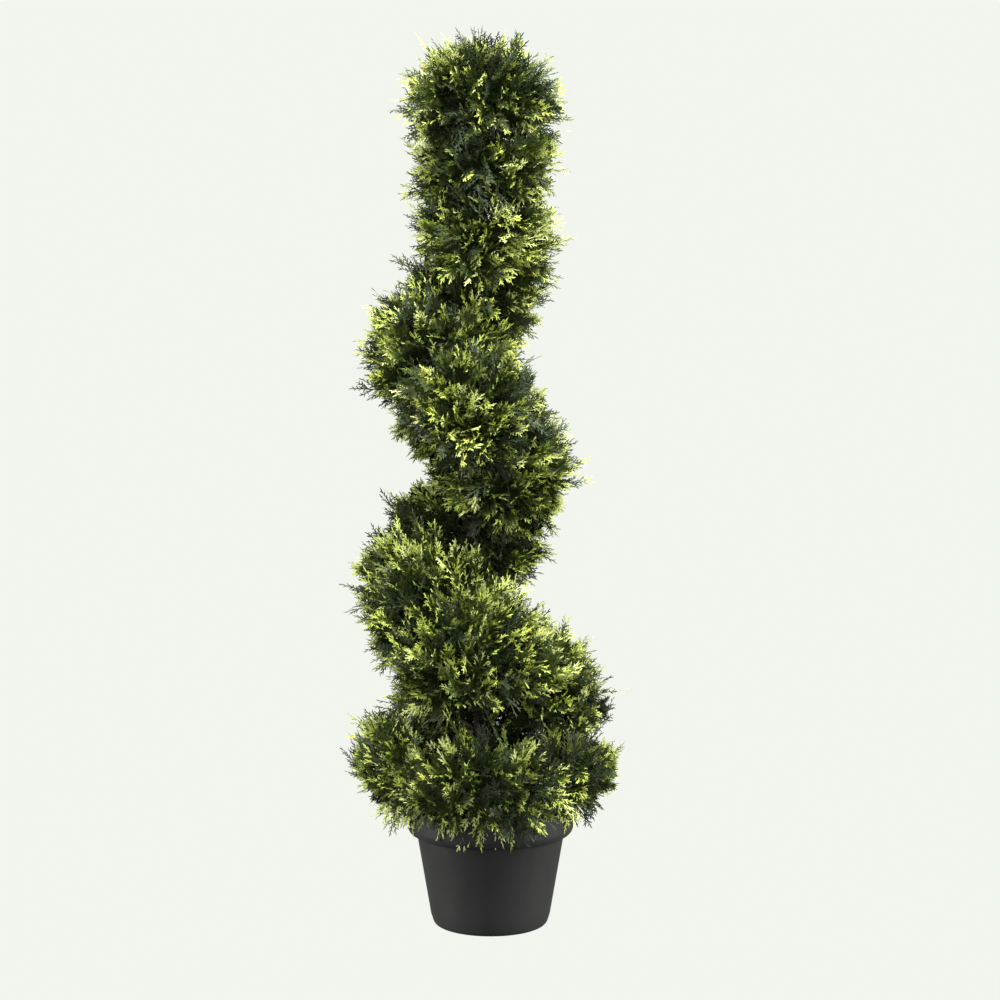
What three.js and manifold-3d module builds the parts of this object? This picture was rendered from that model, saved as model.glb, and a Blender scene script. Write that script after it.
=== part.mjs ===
// Artificial spiral topiary: clipped cypress foliage wound down a slim pole, standing in a round plastic pot.
// Millimetres, +Z up, -Y to the front. The origin is the centre of the pot's flat underside.
//
// The crown is one strand of foliage on a left-handed helix. It starts as an upright column at the tip, winds
// out into coils, and ends in a wide flat ring that drapes over the pot. The strand is cut into masses a
// quarter turn apart. Each mass is an uneven ellipsoid lying along the strand, trimmed by the flat plane half
// way to each neighbour, round the pole and above the pot, with a hair's gap everywhere.
import * as THREE from 'three';
import { mergeVertices } from 'three/addons/utils/BufferGeometryUtils.js';
import Module from 'manifold-3d';

const wasm = await Module();
wasm.setup();

const GAP = 0.3;
const MERGE_DISTANCE = 1e-4;

// Pot
const POT_HEIGHT = 121;
const POT_SIDES = 40;
const UNDERSIDE_RADIUS = 53;
const HEEL_RADIUS = 6;
const HEEL_END = -Math.PI / 12;
const HEEL_STEPS = 4;
const BODY_TOP_RADIUS = 75;
const COLLAR_BOTTOM = 92;
const COLLAR_RADIUS = 84.5;
const COLLAR_CURVE = 9;
const COLLAR_START = -Math.PI / 2.4;
const COLLAR_STEPS = 4;
const RIM_ROUND = 1.8;
const RIM_STEPS = 3;
const POT_WALL = 2.6;
const COLLAR_DRAFT = 1;
const FLOOR_THICKNESS = 3;

// Fill that holds the pole in the pot
const FILL_TOP = 104;
const FILL_EDGE_DROP = 2;
const FILL_EDGE_WIDTH = 6;
const FILL_SIDES = 28;

// Pole
const POLE_BASE_RADIUS = 9;
const POLE_TIP_RADIUS = 4;
const POLE_TIP_HEIGHT = 862;
const POLE_FLARE = 6;
const POLE_FLARE_HEIGHT = 22;
const POLE_BOW = 17;
const POLE_TIP_OFFSET = 9;
const POLE_SIDES = 10;
const POLE_STEPS = 14;

// Strand of foliage: heights
const PITCH = 244;
const FIRST_LEFT_HEIGHT = 825;
const MASSES_PER_TURN = 4;
const STRAND_TURNS = 3.5;
const RING_HEIGHT = 162;
const RING_EASING = 1.5;

// Strand of foliage: the turns at which its tip, column, coils and ring run into each other
const TIP_END = 0.25;
const OFFSET_START = 0.2;
const COIL_START = 0.3;
const COIL_FULL = 1;
const LOW_COIL_START = 1.25;
const LOW_COIL_FULL = 1.9;
const RING_START = 2;
const RING_RADIUS_FULL = 2.8;
const RING_OFFSET_FULL = 3;
const RING_THICKNESS_START = 2.5;
const RING_THICKNESS_FULL = 3;
const RING_FLAT_START = 2.6;
const RING_FLAT_FULL = 3.15;

// Strand of foliage: how far its centre line is from the axis, and the sideways offset of its coils
const COIL_RADIUS = 31;
const RING_RADIUS = 61;
const TIP_OFFSET = -9;
const COLUMN_OFFSET = -5;
const COIL_OFFSET = -23;
const RING_OFFSET = -11;

// Strand of foliage: half its width, and how the masses stretch along it
const TIP_THICKNESS = 77;
const COLUMN_THICKNESS = 71.5;
const COIL_THICKNESS = 74;
const LOW_COIL_THICKNESS = 82;
const RING_THICKNESS = 77;
const ALONG_STRAND = 1.24;
const TIP_LENGTHENING = 0.925;
const RING_FLATTENING = 0.68;
const TANGENT_STEP = 0.02;

// Unevenness of the clipped surface
const MASS_DETAIL = 4;
const BROAD_SWELL = 4.5;
const BROAD_WAVE = 2.9;
const FINE_SWELL = 3.5;
const FINE_WAVE = 6.7;
const TUFT = 7;
const SCATTER_INDEX = 12.9898;
const SCATTER_SEED = 78.233;
const SCATTER_SPREAD = 43758.5453;
const CUTTER = 700;

const SIDES = ['left', 'front', 'right', 'back'];

const smooth = (from, to, value) => THREE.MathUtils.smoothstep(value, from, to);
const mix = THREE.MathUtils.lerp;

const finish = (color, roughness) => new THREE.MeshStandardMaterial({ color, roughness, metalness: 0 });
const POT_PLASTIC = finish(0x2c2d2e, 0.5);
const FILL_GRIT = finish(0x4a4038, 0.95);
const POLE_BARK = finish(0x4b3a2a, 0.85);
const CYPRESS = finish(0x35532b, 0.8);

// The same surface with position as its only attribute and its shared vertices merged.
function merged(geometry) {
  const bare = geometry.clone();
  bare.deleteAttribute('normal');
  bare.deleteAttribute('uv');
  return mergeVertices(bare, MERGE_DISTANCE);
}

function toManifold(geometry) {
  const shell = merged(geometry);
  return new wasm.Manifold(new wasm.Mesh({
    numProp: 3,
    vertProperties: new Float32Array(shell.attributes.position.array),
    triVerts: new Uint32Array(shell.index.array),
  }));
}

function toGeometry(manifold) {
  const mesh = manifold.getMesh();
  const geometry = new THREE.BufferGeometry();
  geometry.setAttribute('position', new THREE.BufferAttribute(new Float32Array(mesh.vertProperties), 3));
  geometry.setIndex(new THREE.BufferAttribute(new Uint32Array(mesh.triVerts), 1));
  return geometry;
}

function named(name, geometry, material) {
  const mesh = new THREE.Mesh(geometry, material);
  mesh.name = name;
  return mesh;
}

// ---- pot ----

function arc(centreX, centreY, radius, fromAngle, toAngle, steps) {
  const points = [];
  for (let i = 0; i <= steps; i += 1) {
    const angle = mix(fromAngle, toAngle, i / steps);
    points.push(new THREE.Vector2(centreX + radius * Math.cos(angle), centreY + radius * Math.sin(angle)));
  }
  return points;
}

const outerRadiusAt = (z) => mix(UNDERSIDE_RADIUS + HEEL_RADIUS, BODY_TOP_RADIUS, z / COLLAR_BOTTOM);

// Upright turn around the Z axis of a profile given as radius and height.
function turned(profile, sides) {
  const geometry = new THREE.LatheGeometry(profile, sides);
  geometry.rotateX(Math.PI / 2);
  return geometry;
}

function potOutside(grow) {
  const collarArcCentre = COLLAR_BOTTOM + COLLAR_CURVE;
  const rimCentre = POT_HEIGHT - RIM_ROUND;
  return [
    new THREE.Vector2(0, -grow),
    ...arc(UNDERSIDE_RADIUS, HEEL_RADIUS, HEEL_RADIUS + grow, -Math.PI / 2, HEEL_END, HEEL_STEPS),
    new THREE.Vector2(outerRadiusAt(COLLAR_BOTTOM) + grow, COLLAR_BOTTOM - grow),
    ...arc(COLLAR_RADIUS - COLLAR_CURVE, collarArcCentre, COLLAR_CURVE + grow, COLLAR_START, 0, COLLAR_STEPS),
    ...arc(COLLAR_RADIUS - RIM_ROUND, rimCentre, RIM_ROUND + grow, 0, Math.PI / 2, RIM_STEPS),
  ];
}

function potGeometry() {
  const innerTop = COLLAR_RADIUS - 2 * RIM_ROUND;
  const profile = [
    ...potOutside(0),
    new THREE.Vector2(innerTop, POT_HEIGHT - RIM_ROUND),
    new THREE.Vector2(innerTop - COLLAR_DRAFT, COLLAR_BOTTOM + COLLAR_CURVE),
    new THREE.Vector2(outerRadiusAt(COLLAR_BOTTOM) - POT_WALL, COLLAR_BOTTOM),
    new THREE.Vector2(outerRadiusAt(FLOOR_THICKNESS) - POT_WALL, FLOOR_THICKNESS),
    new THREE.Vector2(0, FLOOR_THICKNESS),
  ];
  return turned(profile, POT_SIDES);
}

function fillGeometry() {
  const clear = POT_WALL + 2 * GAP;
  const topRadius = outerRadiusAt(COLLAR_BOTTOM) - clear;
  const profile = [
    new THREE.Vector2(0, FLOOR_THICKNESS + GAP),
    new THREE.Vector2(outerRadiusAt(FLOOR_THICKNESS) - clear, FLOOR_THICKNESS + GAP),
    new THREE.Vector2(topRadius, COLLAR_BOTTOM),
    new THREE.Vector2(topRadius, FILL_TOP - FILL_EDGE_DROP),
    new THREE.Vector2(topRadius - FILL_EDGE_WIDTH, FILL_TOP),
    new THREE.Vector2(0, FILL_TOP),
  ];
  return turned(profile, FILL_SIDES);
}

// ---- pole ----

function poleOffset(z) {
  const along = (z - FILL_TOP) / (POLE_TIP_HEIGHT - FILL_TOP);
  return -POLE_BOW * Math.sin(Math.PI * along) - POLE_TIP_OFFSET * along;
}

function poleGeometry(grow) {
  const foot = FILL_TOP + GAP - grow;
  const height = POLE_TIP_HEIGHT + grow - foot;
  const geometry = new THREE.CylinderGeometry(1, 1, height, POLE_SIDES, POLE_STEPS);
  geometry.rotateX(Math.PI / 2);
  geometry.translate(0, 0, foot + height / 2);
  const position = geometry.attributes.position;
  for (let i = 0; i < position.count; i += 1) {
    const z = position.getZ(i);
    const along = (z - foot) / height;
    const flare = POLE_FLARE * Math.exp(-(z - foot) / POLE_FLARE_HEIGHT);
    const radius = mix(POLE_BASE_RADIUS, POLE_TIP_RADIUS, along) + flare + grow;
    position.setX(i, position.getX(i) * radius + poleOffset(z));
    position.setY(i, position.getY(i) * radius);
  }
  return geometry;
}

// ---- foliage ----

// The strand's centre line: `turn` counts whole turns down from the topmost left-hand side.
// It drops evenly as far as RING_START, then eases out level at RING_HEIGHT.
function strandHeight(turn) {
  const coil = FIRST_LEFT_HEIGHT - PITCH * Math.min(turn, RING_START);
  const drop = coil - RING_HEIGHT;
  const easingTurns = RING_EASING * drop / PITCH;
  const left = Math.max(0, 1 - Math.max(0, turn - RING_START) / easingTurns);
  return RING_HEIGHT + drop * left ** RING_EASING;
}

// How far the middle of the strand's turning lies to the right of the pot's axis.
function strandOffset(turn) {
  const column = mix(TIP_OFFSET, COLUMN_OFFSET, smooth(0, TIP_END, turn));
  const coil = mix(column, COIL_OFFSET, smooth(OFFSET_START, COIL_FULL, turn));
  return mix(coil, RING_OFFSET, smooth(RING_START, RING_OFFSET_FULL, turn));
}

function strandPoint(turn) {
  const angle = Math.PI + 2 * Math.PI * turn;
  const coil = COIL_RADIUS * smooth(COIL_START, COIL_FULL, turn);
  const radius = mix(coil, RING_RADIUS, smooth(RING_START, RING_RADIUS_FULL, turn));
  return new THREE.Vector3(
    strandOffset(turn) + radius * Math.cos(angle),
    radius * Math.sin(angle),
    strandHeight(turn),
  );
}

function strandThickness(turn) {
  const column = mix(TIP_THICKNESS, COLUMN_THICKNESS, smooth(0, TIP_END, turn));
  const coil = mix(column, COIL_THICKNESS, smooth(COIL_START, COIL_FULL, turn));
  const lowCoil = mix(coil, LOW_COIL_THICKNESS, smooth(LOW_COIL_START, LOW_COIL_FULL, turn));
  return mix(lowCoil, RING_THICKNESS, smooth(RING_THICKNESS_START, RING_THICKNESS_FULL, turn));
}

// A repeatable number from 0 to 1 for a point of a mass.
function scatter(index, seed) {
  const value = Math.sin(SCATTER_INDEX * index + SCATTER_SEED * seed) * SCATTER_SPREAD;
  return value - Math.floor(value);
}

// A slow and a quick wave over the surface of a mass. The seed shifts them, so that no two masses are alike.
function swell(direction, seed) {
  const broad = Math.sin(BROAD_WAVE * direction.x + seed) * Math.cos(BROAD_WAVE * direction.y - seed);
  const fine = Math.sin(FINE_WAVE * direction.z + seed) * Math.cos(FINE_WAVE * direction.x + seed);
  return BROAD_SWELL * broad + FINE_SWELL * fine;
}

function massShape(turn, seed) {
  const centre = strandPoint(turn);
  const ahead = strandPoint(turn + TANGENT_STEP).sub(strandPoint(turn - TANGENT_STEP)).normalize();
  const lie = new THREE.Quaternion().setFromUnitVectors(new THREE.Vector3(0, 0, -1), ahead);
  const thickness = strandThickness(turn);
  const flattening = mix(1, RING_FLATTENING, smooth(RING_FLAT_START, RING_FLAT_FULL, turn));
  const lengthening = turn === 0 ? TIP_LENGTHENING : ALONG_STRAND;
  const geometry = merged(new THREE.IcosahedronGeometry(1, MASS_DETAIL));
  const position = geometry.attributes.position;
  const point = new THREE.Vector3();
  for (let i = 0; i < position.count; i += 1) {
    point.fromBufferAttribute(position, i);
    const radius = thickness + swell(point, seed) + TUFT * (scatter(i, seed) - 0.5);
    point.multiplyScalar(radius);
    point.z *= lengthening;
    point.applyQuaternion(lie);
    point.z *= flattening;
    point.add(centre);
    position.setXYZ(i, point.x, point.y, point.z);
  }
  return { centre, thickness, solid: toManifold(geometry) };
}

// Everything beyond a plane through `point`, on the side its `normal` points to.
function beyond(point, normal) {
  const block = new THREE.BoxGeometry(CUTTER, CUTTER, CUTTER);
  block.translate(0, 0, CUTTER / 2);
  block.applyQuaternion(new THREE.Quaternion().setFromUnitVectors(new THREE.Vector3(0, 0, 1), normal));
  block.translate(point.x, point.y, point.z);
  return toManifold(block);
}

function trimmedFrom(mass, neighbour) {
  const apart = neighbour.centre.clone().sub(mass.centre);
  const reach = ALONG_STRAND * (mass.thickness + neighbour.thickness);
  if (apart.length() > reach) {
    return mass.solid;
  }
  const share = mass.thickness / (mass.thickness + neighbour.thickness);
  const normal = apart.clone().normalize();
  const point = mass.centre.clone().addScaledVector(apart, share).addScaledVector(normal, -GAP / 2);
  return mass.solid.subtract(beyond(point, normal));
}

function massName(turn) {
  if (turn === 0) {
    return 'foliage_tip';
  }
  const side = SIDES[Math.round(turn * MASSES_PER_TURN) % MASSES_PER_TURN];
  return `foliage_turn${Math.floor(turn) + 1}_${side}`;
}

function foliage() {
  const masses = [];
  for (let turn = 0; turn <= STRAND_TURNS; turn += 1 / MASSES_PER_TURN) {
    masses.push({ name: massName(turn), ...massShape(turn, masses.length + 1) });
  }
  const pole = toManifold(poleGeometry(GAP));
  const pot = toManifold(turned([...potOutside(GAP), new THREE.Vector2(0, POT_HEIGHT + GAP)], POT_SIDES));
  for (const mass of masses) {
    for (const neighbour of masses) {
      if (neighbour !== mass) {
        mass.solid = trimmedFrom(mass, neighbour);
      }
    }
    mass.solid = mass.solid.subtract(pole).subtract(pot);
  }
  return masses;
}

const topiary = new THREE.Group();
topiary.add(named('pot', potGeometry(), POT_PLASTIC));
topiary.add(named('pot_fill', fillGeometry(), FILL_GRIT));
topiary.add(named('trunk', poleGeometry(0), POLE_BARK));
for (const mass of foliage()) {
  topiary.add(named(mass.name, toGeometry(mass.solid), CYPRESS));
}

export default topiary;
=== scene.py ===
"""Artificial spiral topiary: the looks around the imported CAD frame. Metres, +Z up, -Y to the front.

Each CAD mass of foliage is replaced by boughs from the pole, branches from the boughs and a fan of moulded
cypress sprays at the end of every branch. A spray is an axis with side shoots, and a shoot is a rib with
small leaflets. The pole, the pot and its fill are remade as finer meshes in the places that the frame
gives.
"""
import math

import bpy
import numpy as np
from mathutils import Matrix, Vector, noise
from mathutils.bvhtree import BVHTree


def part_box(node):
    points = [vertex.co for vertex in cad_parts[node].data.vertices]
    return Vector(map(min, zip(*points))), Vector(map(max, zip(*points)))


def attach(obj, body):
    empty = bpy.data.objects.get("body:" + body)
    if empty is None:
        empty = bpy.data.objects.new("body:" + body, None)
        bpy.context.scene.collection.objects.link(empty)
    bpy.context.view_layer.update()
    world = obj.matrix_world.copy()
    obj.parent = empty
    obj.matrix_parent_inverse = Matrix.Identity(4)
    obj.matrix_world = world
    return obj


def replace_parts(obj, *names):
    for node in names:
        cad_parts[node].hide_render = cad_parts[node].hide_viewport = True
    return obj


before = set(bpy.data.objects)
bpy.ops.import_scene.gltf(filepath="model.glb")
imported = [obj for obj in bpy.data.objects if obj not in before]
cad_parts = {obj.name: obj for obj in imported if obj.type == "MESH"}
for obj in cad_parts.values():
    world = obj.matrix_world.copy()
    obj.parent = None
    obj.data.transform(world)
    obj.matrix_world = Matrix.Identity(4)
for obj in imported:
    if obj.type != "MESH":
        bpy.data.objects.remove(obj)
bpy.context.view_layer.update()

BODY = "root"
SEED = 7
UP = np.array([0.0, 0.0, 1.0])
PIECE_TRIANGLES = 190_000

# Reading the frame: a facet this near to another solid is a cut between two masses, and points of the pole
# whose heights agree within the tolerance are one ring
CUT_GAP = 0.0012
RING_TOLERANCE = 0.0001
HEIGHT_DECIMALS = 5

# Branches: their ends are spread over the outside of the crown, and they fork some way inside it
BRANCH_SPACING = 0.0197
BRANCH_TRIES = 18000
BRANCH_RADIUS = (0.0013, 0.0008)
BRANCH_SIDES = 4
BRANCH_STEPS = 5
BRANCH_SAG = 0.12
FORK_DEPTH = (0.050, 0.060)
FORK_COVER = 0.016
FORK_DRAW_IN = 0.75
FORK_ROUNDS = 4

# Boughs: from the pole towards branch ends that lie well apart
BOUGHS_PER_MASS = 4
BOUGH_REACH = 0.5
BOUGH_RISE = 0.03
BOUGH_RADIUS = (0.0030, 0.0016)
BOUGH_SIDES = 6
BOUGH_STEPS = 7
BOUGH_BARE_STEPS = 2

# Which way foliage grows: outwards, with a rise that depends on the height and on the slope of the surface.
# A slope is the upright part of the way out: 1 on top, -1 underneath
RISE_HEIGHTS = (0.12, 0.28, 0.45, 0.80)
RISE_AT_HEIGHTS = (0.70, 0.50, 0.22, 0.10)
RISE_SLOPES = (-0.8, -0.2, 0.5)
RISE_AT_SLOPES = (0.0, 1.0, 0.6)
HEADING_LOOSENESS = 0.40

# How far the outer sprays stand out of the crown's surface, and the share of its length that a trimmed spray
# keeps at each round. What the shoulder adds comes in between its two heights
OVERSHOOT = (-0.013, 0.007)
OVERSHOOT_NOISE = 0.0025
STRAY_SHARE = 0.05
STRAY_OVERSHOOT = 0.013
STRAY_LENGTH = 1.25
LEVEL_SLOPES = (-0.6, -0.2, 0.5, 0.9)
LEVEL_OVERSHOOT = (-0.012, 0.0, 0.0, -0.005)
SHOULDER_SLOPES = (0.0, 0.3, 0.7, 0.95)
SHOULDER_OVERSHOOT = (0.0, 0.014, 0.012, 0.0)
SHOULDER_HEIGHTS = (0.81, 0.85)
TRIM_KEEP = 0.35
TRIM_ROUNDS = 3

# Foliage that hangs over the pot's collar, and the lowest height that a tip may reach by its distance out
DRAPE_RADIUS = 0.112
DRAPE_HEIGHT = 0.155
DRAPE_RISE = -0.3
DRAPE_OVERSHOOT = 0.016
LOWEST_RADII = (0.095, 0.110, 0.125, 0.150)
LOWEST_HEIGHTS = (0.092, 0.108, 0.135, 0.165)
LOWEST_KEEP = 0.4
LEAST_FALL = 0.01

# Outer sprays. A fan's turns are counted from its start, a slanted direction
SPRAYS_PER_BRANCH = 6
NARROW_SPRAYS = 3
FAN_START = (0.3, 0.5, 1.0)
SPLAY_NARROW = (0.05, 0.28)
SPLAY_WIDE = (0.45, 0.90)
SPRAY_TURN = 2.4
SPRAY_FOOT = (-0.004, 0.010)
SPRAY_LENGTH = (0.050, 0.066)
SPRAY_TWIST = 0.8
SHOOTS = 7
LEAFLETS = 8
LEAFLET_LENGTH = 0.0045
LEAFLET_WIDTH = 0.35

# Inner sprays that close the view through the crown. All of them take the near-black painted shade tone,
# which stands in for the shade in its hollows
INNER_STARTS = 0.004
INNER_SPACING = 0.0165
INNER_TRIES = 18000
INNER_DEPTH = (0.015, 0.075)
INNER_COVER = 0.009
INNER_LENGTH = (0.046, 0.060)
INNER_SHORTEST = 0.018
INNER_LOOSENESS = 1.1
INNER_TWIST = 0.4
INNER_STEEPNESS = 0.35
INNER_DRAW_IN = 0.75
INNER_ROUNDS = 4
INNER_SHOOTS = 6
INNER_LEAFLETS = 5
INNER_LEAFLET_LENGTH = 0.0070
INNER_LEAFLET_WIDTH = 0.52

# Shape of a spray: places and lengths are shares of its length, and angles are in degrees. A fall is what is
# lost from the foot of the spray or shoot to its tip, and a spread is the range of a random factor
AXIS_SIDE_BEND = 0.12
AXIS_FACE_BEND = (-0.26, 0.10)
AXIS_JOINTS = (0.0, 0.4, 0.76)
SHOOT_PLACES = (0.26, 0.78)
LAST_SHOOT_PLACE = 0.76
SHOOT_ANGLE = 38
SHOOT_ANGLE_FALL = 14
SHOOT_ANGLE_SPREAD = (0.75, 1.2)
SHOOT_LIFT = 0.35
SHOOT_LENGTH = 0.36
SHOOT_LENGTH_FALL = 0.18
SHOOT_LENGTH_SPREAD = (0.75, 1.15)
LAST_SHOOT_LENGTH = (0.22, 0.32)
SHOOT_CURVE = 0.10
FIRST_LEAFLET = 0.16
LEAFLET_ANGLE = 50
LEAFLET_ANGLE_FALL = 16
LEAFLET_WOBBLE = 0.13
LEAFLET_TWIST = 0.35
LEAFLET_SIZE = 1.05
LEAFLET_SIZE_FALL = 0.25
LEAFLET_SIZE_SPREAD = (0.8, 1.2)
LEAFLET_TIP = (0.7, 0.3)
RIB_WIDTH = 0.0015
RIB_MARKS = (0.25, 0.75)
STEM_RADIUS = (0.0008, 0.0004)
STEM_SIDES = 3

# Tones: how far out a leaflet counts as being, by its shoot's place and by its own place on the shoot, and
# where on that scale a spray changes to its middle tone and to its tip tone
OUT_BY_SHOOT = 0.6
OUT_BY_LEAFLET = 0.4
TIP_TONE_START = (0.57, 0.78)
MIDDLE_TONE_LENGTH = (0.06, 0.16)
PATCH_SIZE = 0.036
PATCH_LOOSENESS = 0.50
LEAF_COLORS = {
    # painted shade: a near-black tone for the inner sprays, in place of the shade deep in the crown
    "painted_shade": (0.015, 0.021, 0.006),
    "grey_green": (0.038, 0.056, 0.026),
    "deep_green": (0.045, 0.068, 0.012),
    "olive": (0.130, 0.172, 0.030),
    "lime": (0.47, 0.55, 0.105),
    "pale_lime": (0.55, 0.61, 0.22),
}
LEAF_TONES = list(LEAF_COLORS)
LEAF_FINISH = {"roughness": 0.48, "specular": 0.32}
# The painted shade is matt and has almost no gloss, so that it stays dark
PAINTED_SHADE_FINISH = {"roughness": 0.9, "specular": 0.08}
TONE_KINDS = [
    # share, then the tones of foot, middle and tips, from the darkest kind to the lightest
    (0.27, ("grey_green", "grey_green", "grey_green")),
    (0.11, ("deep_green", "deep_green", "deep_green")),
    (0.08, ("deep_green", "deep_green", "olive")),
    (0.22, ("deep_green", "deep_green", "lime")),
    (0.09, ("deep_green", "deep_green", "pale_lime")),
    (0.14, ("deep_green", "olive", "lime")),
    (0.09, ("olive", "lime", "pale_lime")),
]

# Pole: it is slightly slimmer than the CAD's, under ridges of noise that has one scale round the pole and
# another along it
BARK_SIDES = 20
BARK_STEP = 0.004
BARK_SHARE = 0.97
BARK_RELIEF = 0.10
COARSE_RIDGES = (2.2, 22.0)
FINE_RIDGES = (6.0, 70.0)
FINE_RIDGE_SHARE = 0.5
BARK_TIP_SHARE = 0.05
BARK_TIP_RISE = 0.001

# Outside of the pot: the radius and height of its rim come from the frame, and angles are in degrees
POT_SIDES = 128
AXIS_RADIUS = 0.0005
UNDERSIDE_RING = 0.03
POT_FOOT = 0.059
POT_NECK = 0.075
HEEL_ROUND = 0.006
HEEL_END = -12
HEEL_STEPS = 8
WALL_SPAN = (0.12, 0.985)
WALL_RINGS = 12
CREASE_DEPTH = 0.0002
CREASE_HEIGHT = 0.0004
COLLAR_STEP = 0.0003
COLLAR_LOW = 0.092
COLLAR_ROUND = 0.009
COLLAR_START = -82
COLLAR_STEPS = 10
UNDER_LIP = 0.010
LIP_ROUND = 0.0018
LIP_STEPS = 10

# Inside of the pot: what the collar and the wall lean in by, and the ledge and fillet at their feet
WALL_THICKNESS = 0.0026
FLOOR_HEIGHT = 0.003
INSIDE_LIP = 0.012
LIP_LEAN = 0.0006
COLLAR_LEAN = 0.001
LEDGE_WIDTH = 0.003
LEDGE_SLOPE = 0.002
WALL_LEAN = 0.001
FLOOR_FILLET = 0.003

# Fill: its surface is noise in lumps and grit, each from its own layer of the noise, and drops off over the
# outermost share of its radius
FILL_SIDES = 96
FILL_RINGS = 22
FILL_INNER = 0.14
FILL_EDGE = 0.14
FILL_EDGE_DROP = 0.004
FILL_CLEARANCE = 0.0005
FILL_SINK = 0.001
FILL_SKIRT = 0.02
LUMP_SCALE = 60.0
LUMP_HEIGHT = 0.0016
GRIT_SCALE = 220.0
GRIT_HEIGHT = 0.0009
GRIT_LAYER = 3.0

# Stage, lights and camera
BACKDROP = (0.888, 0.913, 0.847)
STAGE_RADIUS = 9.0
WARM_WHITE = (1.0, 0.985, 0.95)
SOFT_WHITE = (1.0, 0.99, 0.97)
PURE_WHITE = (1.0, 1.0, 1.0)
SKY_COLOR = (1.0, 0.99, 0.96)
SKY_STRENGTH = 0.21
CAMERA_PLACE = (0.0, -1.8, 0.495)
CAMERA_PITCH = -1.99
CAMERA_LENS = 63.8
CAMERA_SENSOR = 36.0
CAMERA_SHIFT = 0.0095
CAMERA_CLIP = (0.05, 40.0)


# ---- small helpers ----

def unit(v):
    return v / np.maximum(np.linalg.norm(v, axis=-1, keepdims=True), 1e-12)


def across(v, away):
    """The part of v at right angles to away, as a unit vector."""
    return unit(v - (v * away).sum(-1, keepdims=True) * away)


def random_units(rng, count):
    return unit(rng.normal(size=(count, 3)))


def mesh_object(name, vertices, faces, material, smooth=False):
    """A mesh object from an array of points and an array of triangles or quads."""
    vertices = np.ascontiguousarray(vertices, np.float32)
    faces = np.ascontiguousarray(faces, np.int32)
    corners = faces.shape[1]
    mesh = bpy.data.meshes.new(name)
    mesh.vertices.add(len(vertices))
    mesh.vertices.foreach_set("co", vertices.ravel())
    mesh.loops.add(faces.size)
    mesh.loops.foreach_set("vertex_index", faces.ravel())
    mesh.polygons.add(len(faces))
    mesh.polygons.foreach_set("loop_start", np.arange(0, faces.size, corners, dtype=np.int32))
    mesh.polygons.foreach_set("use_smooth", np.full(len(faces), smooth))
    mesh.update(calc_edges=True)
    mesh.materials.append(material)
    obj = bpy.data.objects.new(name, mesh)
    bpy.context.scene.collection.objects.link(obj)
    return obj


def part(obj):
    """Makes the object a piece of the plant, held under the plant's body."""
    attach(obj, BODY)
    return obj


# ---- materials ----

def principled(name, color, roughness, specular=0.5):
    material = bpy.data.materials.new(name)
    material.use_nodes = True
    shader = material.node_tree.nodes["Principled BSDF"]
    shader.inputs["Base Color"].default_value = (*color, 1.0)
    shader.inputs["Roughness"].default_value = roughness
    shader.inputs["Specular IOR Level"].default_value = specular
    return material, shader


def noise_node(material, scale, detail, stretch=(1.0, 1.0, 1.0)):
    """A noise texture in the object's own space."""
    nodes = material.node_tree.nodes
    links = material.node_tree.links
    place = nodes.new("ShaderNodeTexCoord")
    mapping = nodes.new("ShaderNodeMapping")
    mapping.inputs["Scale"].default_value = stretch
    texture = nodes.new("ShaderNodeTexNoise")
    texture.inputs["Scale"].default_value = scale
    texture.inputs["Detail"].default_value = detail
    links.new(place.outputs["Object"], mapping.inputs["Vector"])
    links.new(mapping.outputs["Vector"], texture.inputs["Vector"])
    return texture


def ramp(material, texture, stops, target):
    """Turns the texture's value into a colour for the target socket. A stop is a value and its colour."""
    node = material.node_tree.nodes.new("ShaderNodeValToRGB")
    for stop, (value, color) in zip(node.color_ramp.elements, stops):
        stop.position = value
        stop.color = (*color, 1.0)
    material.node_tree.links.new(texture.outputs["Fac"], node.inputs["Fac"])
    material.node_tree.links.new(node.outputs["Color"], target)


def bump(material, shader, texture, strength, distance):
    node = material.node_tree.nodes.new("ShaderNodeBump")
    node.inputs["Strength"].default_value = strength
    node.inputs["Distance"].default_value = distance
    material.node_tree.links.new(texture.outputs["Fac"], node.inputs["Height"])
    material.node_tree.links.new(node.outputs["Normal"], shader.inputs["Normal"])


def grey(value):
    return (value, value, value)


def leaf_material(tone):
    """Plain moulded plastic, glossier than the matt painted shade: near-black leaves that hide inside the
    crown in place of its shade.
    """
    finish = PAINTED_SHADE_FINISH if tone == "painted_shade" else LEAF_FINISH
    return principled("leaf_" + tone, LEAF_COLORS[tone], **finish)[0]


def twig_material():
    return principled("twig_plastic", color=(0.045, 0.065, 0.018), roughness=0.5)[0]


def bark_material():
    """Dark brown bark with a grain that is drawn out along the pole."""
    material, shader = principled("pole_bark", color=(0.030, 0.021, 0.013), roughness=0.85, specular=0.3)
    grain = noise_node(material, scale=90.0, detail=6.0, stretch=(1.0, 1.0, 0.25))
    tones = [(0.3, (0.013, 0.009, 0.006)), (0.75, (0.050, 0.036, 0.022))]
    ramp(material, grain, tones, shader.inputs["Base Color"])
    bump(material, shader, grain, strength=0.5, distance=0.001)
    return material


def pot_material():
    """Charcoal plastic with faint clouds of tone, long scuffs and a fine grain."""
    material, shader = principled("pot_plastic", color=(0.023, 0.0235, 0.024), roughness=0.5, specular=0.28)
    clouds = noise_node(material, scale=9.0, detail=5.0)
    tones = [(0.3, (0.0200, 0.0205, 0.0211)), (0.75, (0.0295, 0.0301, 0.0308))]
    ramp(material, clouds, tones, shader.inputs["Base Color"])
    scuffs = noise_node(material, scale=60.0, detail=8.0, stretch=(1.0, 1.0, 0.2))
    ramp(material, scuffs, [(0.35, grey(0.42)), (0.8, grey(0.60))], shader.inputs["Roughness"])
    grain = noise_node(material, scale=900.0, detail=2.0)
    bump(material, shader, grain, strength=0.12, distance=0.0003)
    return material


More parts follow.
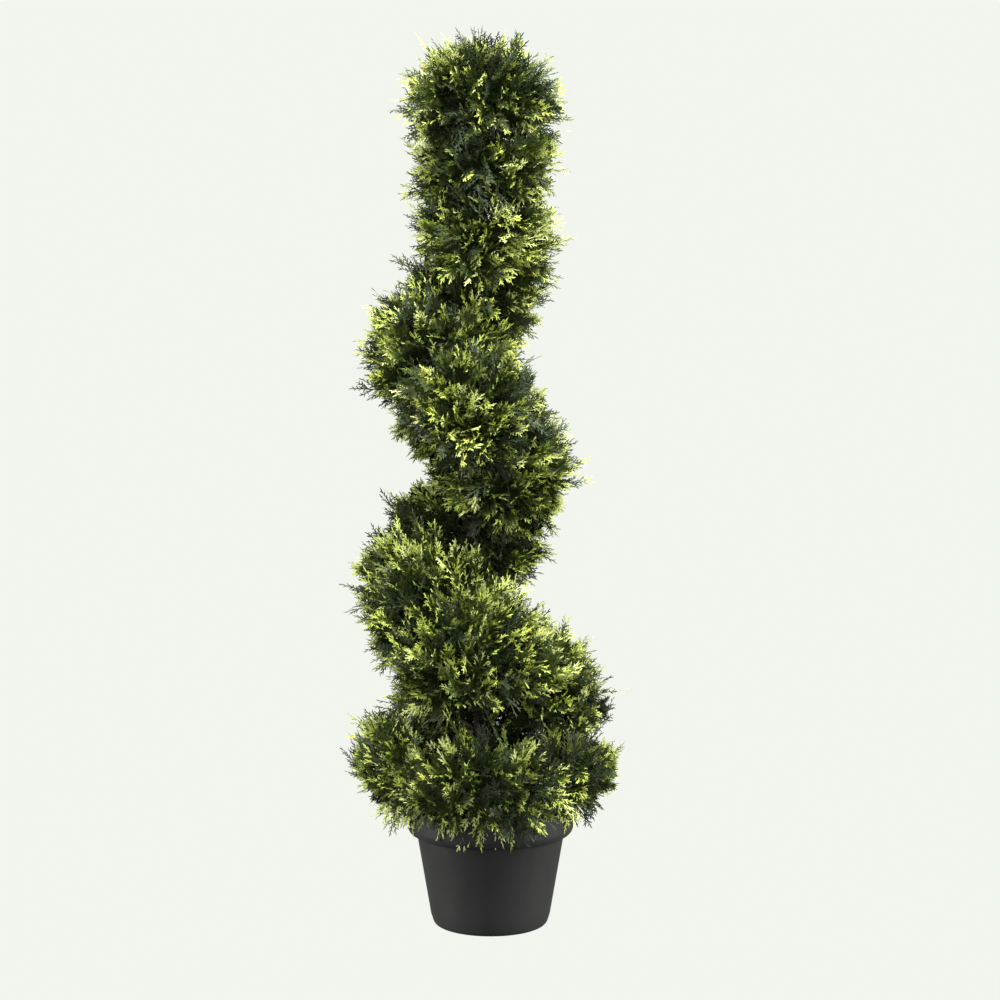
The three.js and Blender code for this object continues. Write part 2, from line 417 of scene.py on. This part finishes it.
def fill_material():
    """Brown grit, rough all over."""
    material, shader = principled("fill_grit", color=(0.10, 0.085, 0.07), roughness=0.95)
    grit = noise_node(material, scale=160.0, detail=8.0)
    tones = [(0.3, (0.045, 0.036, 0.028)), (0.75, (0.17, 0.15, 0.125))]
    ramp(material, grit, tones, shader.inputs["Base Color"])
    bump(material, shader, grit, strength=0.8, distance=0.002)
    return material


def paper_material(name):
    """Stage paper that shows its own even tone and takes no light or shadow."""
    material, shader = principled(name, color=grey(0.0), roughness=1.0, specular=0.0)
    shader.inputs["Emission Color"].default_value = (*BACKDROP, 1.0)
    shader.inputs["Emission Strength"].default_value = 1.0
    return material


# ---- reading the frame ----

def node_triangles(node):
    """Every triangle of a CAD node as an array of corner points."""
    mesh = node.data
    mesh.calc_loop_triangles()
    points = np.empty(len(mesh.vertices) * 3)
    mesh.vertices.foreach_get("co", points)
    corners = np.empty(len(mesh.loop_triangles) * 3, np.int32)
    mesh.loop_triangles.foreach_get("vertices", corners)
    return points.reshape(-1, 3)[corners].reshape(-1, 3, 3)


def tree_of(triangles):
    points = [tuple(p) for p in triangles.reshape(-1, 3)]
    return BVHTree.FromPolygons(points, [(i, i + 1, i + 2) for i in range(0, len(points), 3)])


def is_open_face(tree, triangles):
    """True for each triangle that no other solid lies against."""
    centres = triangles.mean(axis=1)
    return np.array([tree.find_nearest(Vector(c))[3] > CUT_GAP for c in centres])


def open_faces(solids, names):
    """The outside of the crown: each mass without its flat cuts. Returns triangles and each one's mass."""
    kept, owner = [], []
    for index, name in enumerate(names):
        others = np.concatenate([t for other, t in solids.items() if other != name])
        outside = solids[name][is_open_face(tree_of(others), solids[name])]
        kept.append(outside)
        owner.append(np.full(len(outside), index))
    return np.concatenate(kept), np.concatenate(owner)


def normals_of(triangles):
    """Each triangle's normal, as long as twice its area."""
    return np.cross(triangles[:, 1] - triangles[:, 0], triangles[:, 2] - triangles[:, 0])


def spaced(points, spacing):
    """The numbers of the points that keep the spacing, taken in order."""
    chosen = np.empty((len(points), 3))
    kept = []
    for i, point in enumerate(points):
        done = chosen[:len(kept)]
        if len(kept) == 0 or ((done - point) ** 2).sum(1).min() > spacing ** 2:
            chosen[len(kept)] = point
            kept.append(i)
    return kept


def scatter_on(triangles, spacing, tries, rng):
    """Random points on the triangles, at least the spacing apart, and their triangles' numbers."""
    area = np.linalg.norm(normals_of(triangles), axis=1)
    pick = rng.choice(len(triangles), tries, p=area / area.sum())
    a, b = rng.random((2, tries, 1))
    flip = a + b > 1
    a, b = np.where(flip, 1 - a, a), np.where(flip, 1 - b, b)
    corner = triangles[pick]
    points = corner[:, 0] + a * (corner[:, 1] - corner[:, 0]) + b * (corner[:, 2] - corner[:, 0])
    kept = spaced(points, spacing)
    return points[kept], pick[kept]


def overshoot_of(tree, point):
    """How far out of the crown a point is, below zero inside."""
    near, normal, _, distance = tree.find_nearest(Vector(point))
    return distance if (Vector(point) - near).dot(normal) > 0 else -distance


class Pole:
    """The pole's centre line and radius, read from its CAD node."""

    def __init__(self):
        points = node_triangles(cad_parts["trunk"]).reshape(-1, 3)
        self.heights = np.unique(points[:, 2].round(HEIGHT_DECIMALS))
        rings = [points[np.abs(points[:, 2] - z) < RING_TOLERANCE] for z in self.heights]
        self.centres = np.array([(ring.min(0) + ring.max(0)) / 2 for ring in rings])
        self.radii = np.array([np.ptp(ring[:, 1]) / 2 for ring in rings])

    def at(self, z):
        z = np.clip(z, self.heights[0], self.heights[-1])
        x = np.interp(z, self.heights, self.centres[:, 0])
        y = np.interp(z, self.heights, self.centres[:, 1])
        return np.stack([x, y, z], axis=-1)

    def radius(self, z):
        return float(np.interp(z, self.heights, self.radii))


# ---- sprays ----

def spray_axis(base, along, face, side, length, rng):
    """Gives a function for the point and heading at shares of every spray's gently bent axis."""
    bend_side = rng.normal(0, AXIS_SIDE_BEND, (len(base), 1))
    bend_face = rng.uniform(*AXIS_FACE_BEND, (len(base), 1))
    bend = (bend_side * side + bend_face * face)[:, None]

    def axis_at(shares):
        s = np.asarray(shares)[None, :, None]
        point = base[:, None] + length[:, None, None] * (s * along[:, None] + s * s * bend)
        return point, unit(along[:, None] + 2 * s * bend)

    return axis_at


def shoots_on(axis_at, face, side, length, place, rng):
    """Shoots on alternate sides of every axis at the places, the last one straight on from its end.

    Returns each shoot's foot, the axis's heading there, its flat side, its own heading and its length.
    """
    shape = (len(side), len(place))
    hand = np.where(np.arange(len(place)) % 2, -1.0, 1.0)
    hand[-1] = 0.0
    foot, tangent = axis_at(place)
    flat = unit(np.cross(side[:, None] + 0 * tangent, tangent))
    flat = np.where((flat * face[:, None]).sum(-1, keepdims=True) < 0, -flat, flat)
    out = unit(np.cross(flat, tangent))
    spread = rng.uniform(*SHOOT_ANGLE_SPREAD, shape)
    angle = np.radians(SHOOT_ANGLE - SHOOT_ANGLE_FALL * place) * spread
    lift = rng.uniform(-SHOOT_LIFT, SHOOT_LIFT, (*shape, 1))
    sweep = (np.sin(angle) * hand)[..., None]
    heading = unit(np.cos(angle)[..., None] * tangent + sweep * out + lift * np.abs(sweep) * flat)
    reach = (SHOOT_LENGTH - SHOOT_LENGTH_FALL * place) * rng.uniform(*SHOOT_LENGTH_SPREAD, shape)
    reach[:, -1] = rng.uniform(*LAST_SHOOT_LENGTH, shape[0])
    return foot, tangent, flat, heading, (reach * length[:, None])[..., None]


def along_shoots(foot, tangent, heading, reach, shares):
    """Points at shares of every shoot, which curves a little towards the tip of the spray."""
    t = shares[None, None, :, None]
    way = t * heading[:, :, None] + SHOOT_CURVE * t * t * tangent[:, :, None]
    return foot[:, :, None] + reach[:, :, None] * way


def leaflets_on(stem, flat, heading, share, leaflet_length, leaflet_width, rng):
    """Corners of narrow leaflets along the shoots, on alternate sides, with the last one straight on."""
    shape = stem.shape[:3]
    hand = np.where(np.arange(len(share)) % 2, -1.0, 1.0)
    turn = hand * np.radians(LEAFLET_ANGLE - LEAFLET_ANGLE_FALL * share)
    turn[-1] = 0.0
    wobble = rng.normal(0, LEAFLET_WOBBLE, (*shape, 3))
    flat_here = unit(flat[:, :, None] + rng.normal(0, LEAFLET_TWIST, (*shape, 3)))
    inward = unit(np.cross(flat_here, heading[:, :, None]))
    aim = unit(np.cos(turn)[:, None] * heading[:, :, None] + np.sin(turn)[:, None] * inward + wobble)
    size = leaflet_length * (LEAFLET_SIZE - LEAFLET_SIZE_FALL * share)[None, None, :, None]
    size = size * rng.uniform(*LEAFLET_SIZE_SPREAD, (*shape, 1))
    broad = unit(np.cross(aim, flat_here)) * size * leaflet_width / 2
    end = stem + aim * size
    corners = [stem - broad, stem + broad, end + broad * LEAFLET_TIP[0], end - broad * LEAFLET_TIP[1]]
    return np.stack(corners, axis=-2)


def ribs_on(foot, tangent, flat, heading, reach):
    """Corners of the rib of every shoot, as two lengths that taper to half its width."""
    t = np.array([0.0, 0.5, 1.0])
    spine = along_shoots(foot, tangent, heading, reach, t)
    half = unit(np.cross(heading, flat))[:, :, None] * (1 - t / 2)[:, None] * RIB_WIDTH / 2
    left, right = spine - half, spine + half
    return np.stack([left[:, :, :-1], right[:, :, :-1], right[:, :, 1:], left[:, :, 1:]], axis=-2)


def grow_sprays(base, along, face, length, shoots, leaflets, leaflet_length, leaflet_width, rng):
    """Moulded cypress sprays, all at once.

    base, along, face and length give each spray's foot, its heading, the way its flat side looks and its
    size. Returns the corners of the leaflets and of the ribs, the points of the axes, and how far out each
    leaflet and rib is, from 0 to about 1.
    """
    side = unit(np.cross(face, along))
    axis_at = spray_axis(base, along, face, side, length, rng)
    place = np.append(np.linspace(*SHOOT_PLACES, shoots), LAST_SHOOT_PLACE)
    foot, tangent, flat, heading, reach = shoots_on(axis_at, face, side, length, place, rng)
    share = np.linspace(FIRST_LEAFLET, 1.0, leaflets)
    stem = along_shoots(foot, tangent, heading, reach, share)
    leaflet_quads = leaflets_on(stem, flat, heading, share, leaflet_length, leaflet_width, rng)
    rib_quads = ribs_on(foot, tangent, flat, heading, reach)
    out = OUT_BY_SHOOT * np.broadcast_to(place, foot.shape[:2])[..., None]
    leaflet_out = out + OUT_BY_LEAFLET * share
    rib_out = out + OUT_BY_LEAFLET * np.array(RIB_MARKS)
    return leaflet_quads, rib_quads, axis_at(AXIS_JOINTS)[0], leaflet_out, rib_out


def tubes(paths, start_radius, end_radius, sides):
    """Tapering tubes along many paths of equal length. Returns points and quads."""
    count, steps, _ = paths.shape
    heading = unit(np.gradient(paths, axis=1))
    nearly_upright = np.abs(heading[..., 2:]) > 0.9
    reference = np.where(nearly_upright, [1.0, 0.0, 0.0], UP)
    a = unit(np.cross(heading, reference))
    b = np.cross(heading, a)
    radius = np.linspace(start_radius, end_radius, steps)[None, :, None, None]
    angle = 2 * np.pi * np.arange(sides) / sides
    ring = np.cos(angle)[:, None] * a[:, :, None] + np.sin(angle)[:, None] * b[:, :, None]
    points = paths[:, :, None] + radius * ring
    number = np.arange(count * steps * sides).reshape(count, steps, sides)
    following = np.roll(number, -1, axis=2)
    quads = np.stack([number[:, :-1], following[:, :-1], following[:, 1:], number[:, 1:]], axis=-1)
    return points.reshape(-1, 3), quads.reshape(-1, 4)


# ---- the crown ----

def outward(solids, names, points, owner, normals):
    """The way out of the crown at each point: half by its facet and half from the middle of its mass."""
    corners = [solids[name].reshape(-1, 3) for name in names]
    middles = np.array([(c.min(0) + c.max(0)) / 2 for c in corners])
    return unit(normals + unit(points - middles[owner]))


def over_collar(points):
    """True for each point whose foliage hangs over the collar of the pot."""
    return (np.hypot(points[:, 0], points[:, 1]) < DRAPE_RADIUS) & (points[:, 2] < DRAPE_HEIGHT)


def heading_for(points, way_out, rng):
    """Which way foliage grows at the surface: outwards, with some rise, and with a fall over the collar."""
    rise = np.interp(points[:, 2], RISE_HEIGHTS, RISE_AT_HEIGHTS)
    rise = rise * np.interp(way_out[:, 2], RISE_SLOPES, RISE_AT_SLOPES)
    rise = np.where(over_collar(points), DRAPE_RISE, rise)
    loose = across(random_units(rng, len(points)), way_out)
    return unit(way_out + rise[:, None] * UP + rng.uniform(0.0, HEADING_LOOSENESS, (len(points), 1)) * loose)


def outgrowth(points, way_out):
    """How much further out of the crown than elsewhere the sprays may stand.

    It is less on undersides and on tops, and more on the shoulder of the topmost mass and over the collar.
    """
    level = np.interp(way_out[:, 2], LEVEL_SLOPES, LEVEL_OVERSHOOT)
    shoulder = np.interp(way_out[:, 2], SHOULDER_SLOPES, SHOULDER_OVERSHOOT)
    level = level + shoulder * np.interp(points[:, 2], SHOULDER_HEIGHTS, (0.0, 1.0))
    return np.where(over_collar(points), DRAPE_OVERSHOOT, level)


def trim_lengths(tree, base, along, length, allowed):
    """Shortens each spray whose tip stands further out of the crown, or lower, than it may."""
    for _ in range(TRIM_ROUNDS):
        tips = base + along * length[:, None]
        excess = np.array([overshoot_of(tree, p) for p in tips]) - allowed
        length = np.where(excess > 0, np.maximum(length - excess, TRIM_KEEP * length), length)
    tips = base + along * length[:, None]
    lowest = np.interp(np.hypot(tips[:, 0], tips[:, 1]), LOWEST_RADII, LOWEST_HEIGHTS)
    room = (base[:, 2] - lowest) / np.maximum(-along[:, 2], LEAST_FALL)
    return np.where(tips[:, 2] < lowest, np.clip(room, LOWEST_KEEP * length, length), length)


def inside_forks(tree, ends, grow, rng):
    """Where each branch forks into its sprays: some way in from its end, but not near the far side."""
    depth = rng.uniform(*FORK_DEPTH, len(ends))
    for _ in range(FORK_ROUNDS):
        forks = ends - grow * depth[:, None]
        bare = np.array([overshoot_of(tree, p) for p in forks]) > -FORK_COVER
        depth = np.where(bare, FORK_DRAW_IN * depth, depth)
    return ends - grow * depth[:, None]


def far_apart(points, count):
    """The first point, and then each time the one that is furthest from those taken."""
    chosen = [points[0]]
    while len(chosen) < min(count, len(points)):
        gap = np.min([((points - c) ** 2).sum(1) for c in chosen], axis=0)
        chosen.append(points[gap.argmax()])
    return chosen


def bough_paths(ends, owner, masses):
    """A few boughs from the pole into each mass. Returns their paths and the mass that each is in."""
    pole = Pole()
    paths, home = [], []
    s = np.linspace(0, BOUGH_REACH, BOUGH_STEPS)[:, None]
    for mass in range(masses):
        members = ends[owner == mass]
        if len(members) == 0:
            continue
        for target in far_apart(members, BOUGHS_PER_MASS):
            foot = pole.at(target[2] - BOUGH_RISE)
            paths.append(foot + s * (target - foot) + UP * BOUGH_RISE * s * (1 - s))
            home.append(mass)
    return np.array(paths), np.array(home)


def branch_paths(forks, owner, boughs, bough_home, rng):
    """A branch to each fork from the nearest point of a bough in the same mass."""
    s = np.linspace(0, 1, BRANCH_STEPS)[:, None]
    paths = []
    for fork, mass in zip(forks, owner):
        candidates = boughs[bough_home == mass][:, BOUGH_BARE_STEPS:].reshape(-1, 3)
        foot = candidates[((candidates - fork) ** 2).sum(1).argmin()]
        sag = random_units(rng, 1) * BRANCH_SAG * np.linalg.norm(fork - foot)
        paths.append(foot + s * (fork - foot) + s * (1 - s) * sag)
    return np.array(paths)


def place_sprays(tree, ends, way_out, grow, forks, branch, rng):
    """Foot, heading, face and length of the sprays that fan out from every fork, half of them narrowly."""
    count = len(branch)
    rank = np.arange(count) % SPRAYS_PER_BRANCH
    turn = rank * SPRAY_TURN + rng.uniform(0, 2 * np.pi, len(ends))[branch]
    a = across(np.tile(FAN_START, (count, 1)), grow[branch])
    b = np.cross(grow[branch], a)
    narrow = rng.uniform(*SPLAY_NARROW, count)
    wide = rng.uniform(*SPLAY_WIDE, count)
    splay = np.where(rank < NARROW_SPRAYS, narrow, wide)
    fan = np.cos(turn)[:, None] * a + np.sin(turn)[:, None] * b
    along = unit(grow[branch] + splay[:, None] * fan)
    base = forks[branch] + grow[branch] * rng.uniform(*SPRAY_FOOT, (count, 1))
    face = across(way_out[branch] + SPRAY_TWIST * random_units(rng, count), along)
    length = rng.uniform(*SPRAY_LENGTH, count)
    stray = rng.random(count) < STRAY_SHARE
    allowed = rng.uniform(*OVERSHOOT, len(ends))[branch] + rng.normal(0, OVERSHOOT_NOISE, count)
    allowed = np.where(stray, STRAY_OVERSHOOT, allowed) + outgrowth(ends, way_out)[branch]
    length = np.where(stray, STRAY_LENGTH * length, length)
    return base, along, face, trim_lengths(tree, base, along, length, allowed)


def inner_sprays(tree, outside, normals, rng):
    """Broad sprays spread through the inside of the crown, to close the view through it; they take the
    near-black painted shade.

    Returns the corners of their leaflets and ribs and the points of their axes.
    """
    starts, pick = scatter_on(outside, INNER_STARTS, INNER_TRIES, rng)
    centres = starts - normals[pick] * rng.uniform(*INNER_DEPTH, (len(starts), 1))
    depth = np.array([-overshoot_of(tree, c) for c in centres])
    deep = depth > INNER_DEPTH[0]
    centres, way, depth = centres[deep], normals[pick][deep], depth[deep]
    kept = spaced(centres, INNER_SPACING)
    centres, way, depth = centres[kept], way[kept], depth[kept]
    along = unit(way + INNER_LOOSENESS * random_units(rng, len(centres)))
    face = across(way + INNER_TWIST * random_units(rng, len(centres)), along)
    steep = np.maximum(np.abs((along * way).sum(1)), INNER_STEEPNESS)
    length = np.minimum(rng.uniform(*INNER_LENGTH, len(centres)), 2 * (depth - INNER_COVER) / steep)
    length = np.maximum(length, INNER_SHORTEST)
    for _ in range(INNER_ROUNDS):
        half = along * length[:, None] / 2
        cover = [-max(overshoot_of(tree, c - h), overshoot_of(tree, c + h)) for c, h in zip(centres, half)]
        length = np.where(np.array(cover) < INNER_COVER, INNER_DRAW_IN * length, length)
    hidden = length > INNER_SHORTEST
    base = (centres - along * length[:, None] / 2)[hidden]
    return grow_sprays(
        base, along[hidden], face[hidden], length[hidden],
        INNER_SHOOTS, INNER_LEAFLETS, INNER_LEAFLET_LENGTH, INNER_LEAFLET_WIDTH, rng)[:3]


def deal_tones(ends, branch, rng):
    """For each spray the tones of its foot, its middle and its tips. Neighbouring branches mostly agree."""
    patches = np.array([noise.noise(Vector(p) / PATCH_SIZE) for p in ends])[branch]
    patches = patches + rng.normal(0, PATCH_LOOSENESS, len(ends))[branch]
    patches = patches + rng.normal(0, PATCH_LOOSENESS / 2, len(branch))
    rank = patches.argsort().argsort() / len(branch)
    limits = np.cumsum([share for share, _ in TONE_KINDS])[:-1]
    kinds = np.array([[LEAF_TONES.index(tone) for tone in tones] for _, tones in TONE_KINDS])
    return kinds[np.searchsorted(limits, rank)]


def tone_at(tones, out, middle_start, tip_start):
    """The tone of every leaflet or rib from how far out it is and where its spray changes tone."""
    foot, middle, tip = (tones[:, i, None, None] for i in range(3))
    inner = np.where(out > middle_start[:, None, None], middle, foot)
    return np.where(out > tip_start[:, None, None], tip, inner)


def leaf_pieces(tone, quads, nodes):
    """Pieces of one leaf tone, split by height so that each stays under the triangle limit.

    Each four-cornered leaflet or rib is two triangles, split from one foot corner to the far tip.
    """
    material = leaf_material(tone)
    order = np.argsort(quads[:, 0, 2], kind="stable")
    parts = math.ceil(2 * len(quads) / PIECE_TRIANGLES)
    for index, chunk in enumerate(np.array_split(order, parts)):
        first = np.arange(0, 4 * len(chunk), 4)[:, None]
        faces = np.stack([first + [0, 1, 2], first + [0, 2, 3]], axis=1).reshape(-1, 3)
        obj = mesh_object(f"leaves_{tone}_{index + 1}", quads[chunk].reshape(-1, 3), faces, material)
        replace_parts(part(obj), *nodes)


def crown():
    """All the leaves and wood of the crown, grown from one seed."""
    rng = np.random.default_rng(SEED)
    names = sorted(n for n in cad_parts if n.startswith("foliage_"))
    solids = {name: node_triangles(node) for name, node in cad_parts.items()}
    outside, owner = open_faces(solids, names)
    tree = tree_of(outside)
    normals = unit(normals_of(outside))

    ends, pick = scatter_on(outside, BRANCH_SPACING, BRANCH_TRIES, rng)
    way_out = outward(solids, names, ends, owner[pick], normals[pick])
    grow = heading_for(ends, way_out, rng)
    forks = inside_forks(tree, ends, grow, rng)
    boughs, bough_home = bough_paths(ends, owner[pick], len(names))
    branches = branch_paths(forks, owner[pick], boughs, bough_home, rng)

    branch = np.repeat(np.arange(len(ends)), SPRAYS_PER_BRANCH)
    base, along, face, length = place_sprays(tree, ends, way_out, grow, forks, branch, rng)
    leaflets, ribs, axes, leaflet_out, rib_out = grow_sprays(
        base, along, face, length, SHOOTS, LEAFLETS, LEAFLET_LENGTH, LEAFLET_WIDTH, rng)
    tones = deal_tones(ends, branch, rng)
    tip_start = rng.uniform(*TIP_TONE_START, len(branch))
    middle_start = tip_start - rng.uniform(*MIDDLE_TONE_LENGTH, len(branch))
    leaflet_tone = tone_at(tones, leaflet_out, middle_start, tip_start)
    rib_tone = tone_at(tones, rib_out, middle_start, tip_start)
    inner_leaflets, inner_ribs, inner_axes = inner_sprays(tree, outside, normals, rng)

    for index, tone in enumerate(LEAF_TONES):
        quads = [leaflets[leaflet_tone == index], ribs[rib_tone == index]]
        # The inner sprays all go into the painted shade tone: near-black leaves where the crown is only in
        # shade
        if tone == "painted_shade":
            quads += [inner_leaflets.reshape(-1, 4, 3), inner_ribs.reshape(-1, 4, 3)]
        leaf_pieces(tone, np.concatenate(quads), names)
    wood(np.concatenate([axes, inner_axes]), branches, boughs)


def wood(axes, branches, boughs):
    """The axes of the sprays, the branches and the boughs, each kind as one piece."""
    points, quads = tubes(axes, *STEM_RADIUS, STEM_SIDES)
    part(mesh_object("spray_stems", points, quads, twig_material()))
    points, quads = tubes(branches, *BRANCH_RADIUS, BRANCH_SIDES)
    part(mesh_object("branches", points, quads, twig_material(), smooth=True))
    points, quads = tubes(boughs, *BOUGH_RADIUS, BOUGH_SIDES)
    part(mesh_object("boughs", points, quads, bark_material(), smooth=True))


# ---- pole, pot and fill ----

def ring_mesh(name, rings, material):
    """A smooth skin over rings with the same number of points, open at both ends."""
    rings = np.asarray(rings)
    steps, sides, _ = rings.shape
    number = np.arange(steps * sides).reshape(steps, sides)
    following = np.roll(number, -1, axis=1)
    quads = np.stack([number[:-1], following[:-1], following[1:], number[1:]], axis=-1).reshape(-1, 4)
    return mesh_object(name, rings.reshape(-1, 3), quads, material, smooth=True)


def ridges(x, y, z, scales):
    around, along = scales
    return noise.noise(Vector((x * around, y * around, z * along)))


def bark_ring(centre, radius, z):
    """One ring of the pole, with the bark's coarse and fine ridges."""
    ring = []
    for angle in 2 * np.pi * np.arange(BARK_SIDES) / BARK_SIDES:
        x, y = math.cos(angle), math.sin(angle)
        ridge = ridges(x, y, z, COARSE_RIDGES) + FINE_RIDGE_SHARE * ridges(x, y, z, FINE_RIDGES)
        r = radius * (1 + BARK_RELIEF * ridge)
        ring.append((centre[0] + r * x, centre[1] + r * y, z))
    return ring


def trunk():
    """The pole's bark, from the foot up to a blunt tip."""
    pole = Pole()
    low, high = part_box("trunk")
    heights = np.arange(low.z, high.z, BARK_STEP)
    rings = [bark_ring(pole.at(z), pole.radius(z) * BARK_SHARE, z) for z in heights]
    last = np.array(rings[-1])
    rings.append(last.mean(0) + (last - last.mean(0)) * BARK_TIP_SHARE + UP * BARK_TIP_RISE)
    obj = part(ring_mesh("trunk_bark", rings, bark_material()))
    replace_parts(obj, "trunk")


def lathe(name, profile, sides, material):
    """Turns a profile of (radius, height) pairs round the Z axis."""
    profile = np.array(profile)
    angle = 2 * np.pi * np.arange(sides) / sides
    rings = np.stack([
        profile[:, :1] * np.cos(angle),
        profile[:, :1] * np.sin(angle),
        np.broadcast_to(profile[:, 1:], (len(profile), sides)),
    ], axis=-1)
    return ring_mesh(name, rings, material)


def arc(x, z, radius, start, end, steps):
    """Points of an arc round (x, z), from one angle in degrees to another."""
    angle = np.radians(np.linspace(start, end, steps + 1))
    return [(x + radius * math.cos(a), z + radius * math.sin(a)) for a in angle]


def pot_outside(rim, top):
    """From the middle of the underside up the wall, in at the crease under the collar, and over the lip."""
    profile = [(AXIS_RADIUS, 0.0), (UNDERSIDE_RING, 0.0)]
    profile += arc(POT_FOOT - HEEL_ROUND, HEEL_ROUND, HEEL_ROUND, -90, HEEL_END, HEEL_STEPS)
    for share in np.linspace(*WALL_SPAN, WALL_RINGS):
        profile.append((POT_FOOT + (POT_NECK - POT_FOOT) * share, COLLAR_LOW * share))
    profile.append((POT_NECK - CREASE_DEPTH, COLLAR_LOW - CREASE_HEIGHT))
    profile.append((POT_NECK + COLLAR_STEP, COLLAR_LOW))
    collar_middle = COLLAR_LOW + COLLAR_ROUND
    profile += arc(rim - COLLAR_ROUND, collar_middle, COLLAR_ROUND, COLLAR_START, 0, COLLAR_STEPS)
    profile.append((rim, top - UNDER_LIP))
    return profile + arc(rim - LIP_ROUND, top - LIP_ROUND, LIP_ROUND, 0, 180, LIP_STEPS)


def pot_inside(rim, top):
    """From the lip down the inside of the collar and the wall to the middle of the pot's floor."""
    collar = rim - 2 * LIP_ROUND
    neck = POT_NECK - WALL_THICKNESS
    foot = POT_FOOT - WALL_THICKNESS
    return [
        (collar - LIP_LEAN, top - INSIDE_LIP),
        (collar - COLLAR_LEAN, COLLAR_LOW + COLLAR_ROUND),
        (neck + LEDGE_WIDTH, COLLAR_LOW + LEDGE_SLOPE),
        (neck, COLLAR_LOW - LEDGE_SLOPE),
        (foot + WALL_LEAN, FLOOR_HEIGHT + FLOOR_FILLET),
        (foot - FLOOR_FILLET, FLOOR_HEIGHT),
        (AXIS_RADIUS, FLOOR_HEIGHT),
    ]


def pot():
    """The pot as one thin shell, with its open axis hidden in the middle of its underside and floor."""
    _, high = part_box("pot")
    profile = pot_outside(high.x, high.z) + pot_inside(high.x, high.z)
    obj = part(lathe("pot_shell", profile, POT_SIDES, pot_material()))
    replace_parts(obj, "pot")


def fill_height(x, y, share, top):
    """Height of the fill's lumpy surface, which is even and lower at its edge."""
    lumps = noise.noise(Vector((x * LUMP_SCALE, y * LUMP_SCALE, 0.0))) * LUMP_HEIGHT
    grit = noise.noise(Vector((x * GRIT_SCALE, y * GRIT_SCALE, GRIT_LAYER))) * GRIT_HEIGHT
    relief = (lumps + grit) * (share < 1)
    drop = FILL_EDGE_DROP * max(0.0, share - 1 + FILL_EDGE) / FILL_EDGE
    return top - FILL_SINK + relief - drop


def fill():
    """A skin over the fill, with a short skirt down from its edge."""
    _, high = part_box("pot_fill")
    outer = high.x - FILL_CLEARANCE
    angles = 2 * math.pi * np.arange(FILL_SIDES) / FILL_SIDES
    rings = []
    for share in np.linspace(FILL_INNER, 1.0, FILL_RINGS):
        spots = [(outer * share * math.cos(angle), outer * share * math.sin(angle)) for angle in angles]
        rings.append([(x, y, fill_height(x, y, share, high.z)) for x, y in spots])
    rings.append([(x, y, high.z - FILL_SKIRT) for x, y, _ in rings[-1]])
    obj = part(ring_mesh("fill_surface", rings, fill_material()))
    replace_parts(obj, "pot_fill")


# ---- stage, lights and camera ----

def stage():
    """A floor and a dome of one even pale tone. Neither lights the plant."""
    bpy.ops.mesh.primitive_circle_add(vertices=96, radius=STAGE_RADIUS, fill_type="NGON")
    floor = bpy.context.object
    floor.name = "floor"
    floor.data.materials.append(paper_material("floor_paper"))
    bpy.ops.mesh.primitive_uv_sphere_add(segments=64, ring_count=32, radius=STAGE_RADIUS)
    dome = bpy.context.object
    dome.name = "backdrop"
    dome.data.materials.append(paper_material("backdrop_paper"))
    for kind in ("diffuse", "glossy", "transmission", "shadow"):
        setattr(dome, "visible_" + kind, False)
    for kind in ("diffuse", "glossy"):
        setattr(floor, "visible_" + kind, False)


def softbox(name, place, color, aim_height, size, power):
    """A rectangular lamp that shines at a point of the plant's upright axis."""
    data = bpy.data.lights.new(name, "AREA")
    data.shape = "RECTANGLE"
    data.size, data.size_y = size
    data.energy = power
    data.color = color
    lamp = bpy.data.objects.new(name, data)
    lamp.location = place
    lamp.rotation_euler = (Vector((0, 0, aim_height)) - Vector(place)).to_track_quat("-Z", "Y").to_euler()
    bpy.context.scene.collection.objects.link(lamp)


def lights():
    """A strong lamp at each side and above, a faint one in front and one behind, under an even sky."""
    softbox("softbox_left", (-1.7, -0.25, 0.9), WARM_WHITE, aim_height=0.45, size=(0.7, 1.6), power=65)
    softbox("softbox_right", (1.7, -0.25, 0.9), WARM_WHITE, aim_height=0.45, size=(0.7, 1.6), power=65)
    softbox("softbox_top", (0.2, -0.9, 2.2), WARM_WHITE, aim_height=0.5, size=(0.9, 0.9), power=97)
    softbox("softbox_front", (-0.2, -2.4, 0.6), SOFT_WHITE, aim_height=0.4, size=(1.8, 1.4), power=15)
    softbox("softbox_back", (0.0, 1.8, 1.2), PURE_WHITE, aim_height=0.5, size=(1.5, 1.5), power=22)
    world = bpy.data.worlds.new("studio")
    bpy.context.scene.world = world
    world.use_nodes = True
    sky = world.node_tree.nodes["Background"]
    sky.inputs["Color"].default_value = (*SKY_COLOR, 1.0)
    sky.inputs["Strength"].default_value = SKY_STRENGTH


def camera():
    data = bpy.data.cameras.new("camera")
    data.lens = CAMERA_LENS
    data.sensor_width = CAMERA_SENSOR
    data.shift_x = CAMERA_SHIFT
    data.clip_start, data.clip_end = CAMERA_CLIP
    obj = bpy.data.objects.new("camera", data)
    obj.location = CAMERA_PLACE
    obj.rotation_euler = (math.radians(90 + CAMERA_PITCH), 0.0, 0.0)
    bpy.context.scene.collection.objects.link(obj)
    bpy.context.scene.camera = obj


camera()
lights()
stage()
bpy.context.scene.view_settings.view_transform = "Standard"
crown()
trunk()
pot()
fill()
